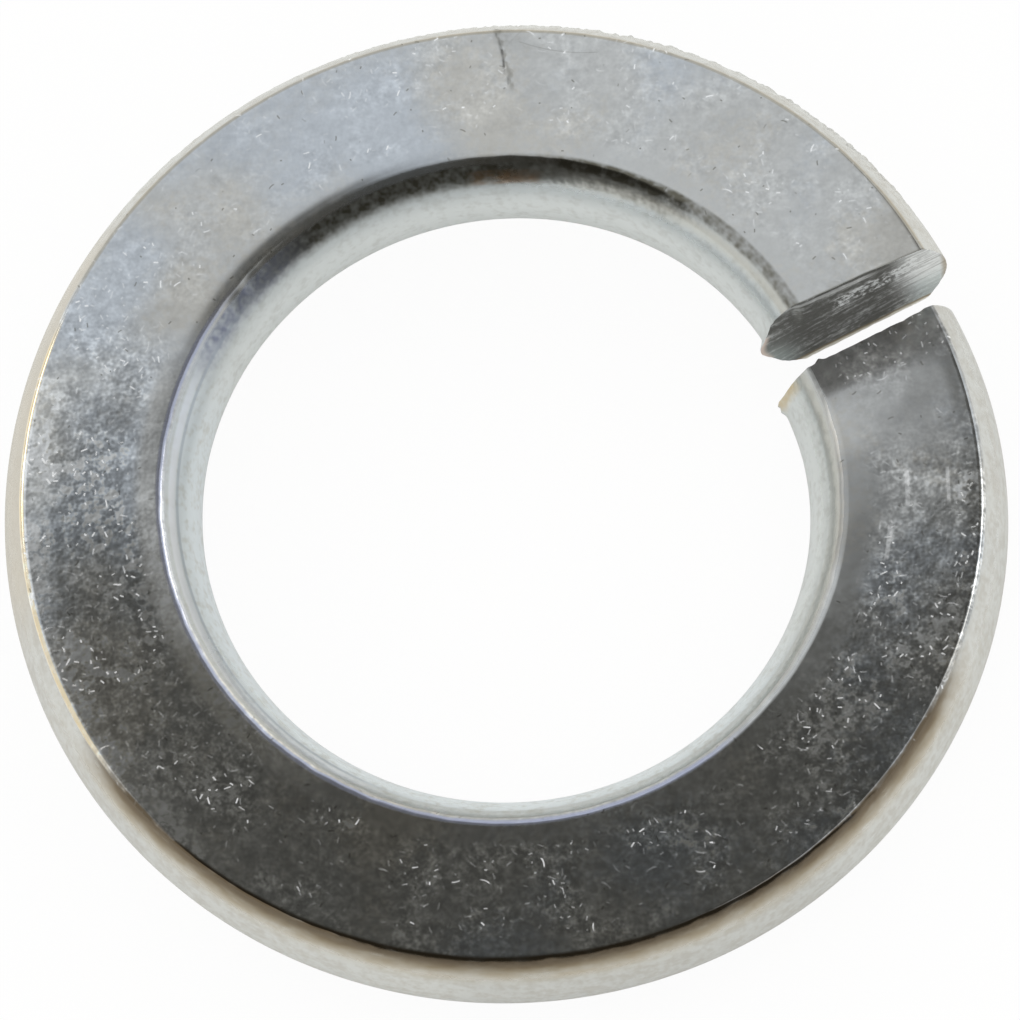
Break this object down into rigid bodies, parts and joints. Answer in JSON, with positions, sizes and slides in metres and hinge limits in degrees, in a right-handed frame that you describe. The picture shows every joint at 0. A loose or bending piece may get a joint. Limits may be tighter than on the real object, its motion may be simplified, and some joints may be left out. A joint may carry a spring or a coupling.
{
  "type": "spring lock washer",
  "caption": "Split spring washer: one left-hand turn of flattened steel wire with rounded sides, its two sheared ends sprung apart.",
  "frame": {"origin": "on the axis of the bore, at the middle of the washer's free height", "axes": "+Z along the axis of the bore, towards the raised end; +X and +Y across the ring, with the split 27 degrees round from +X"},
  "size_m": [0.0202, 0.0202, 0.005],
  "materials": {
    "zinc_plate": "bright zinc plate, finely pitted"
  },
  "bodies": {
    "root": {"lock_washer": "zinc_plate"}
  },
  "joints": []
}
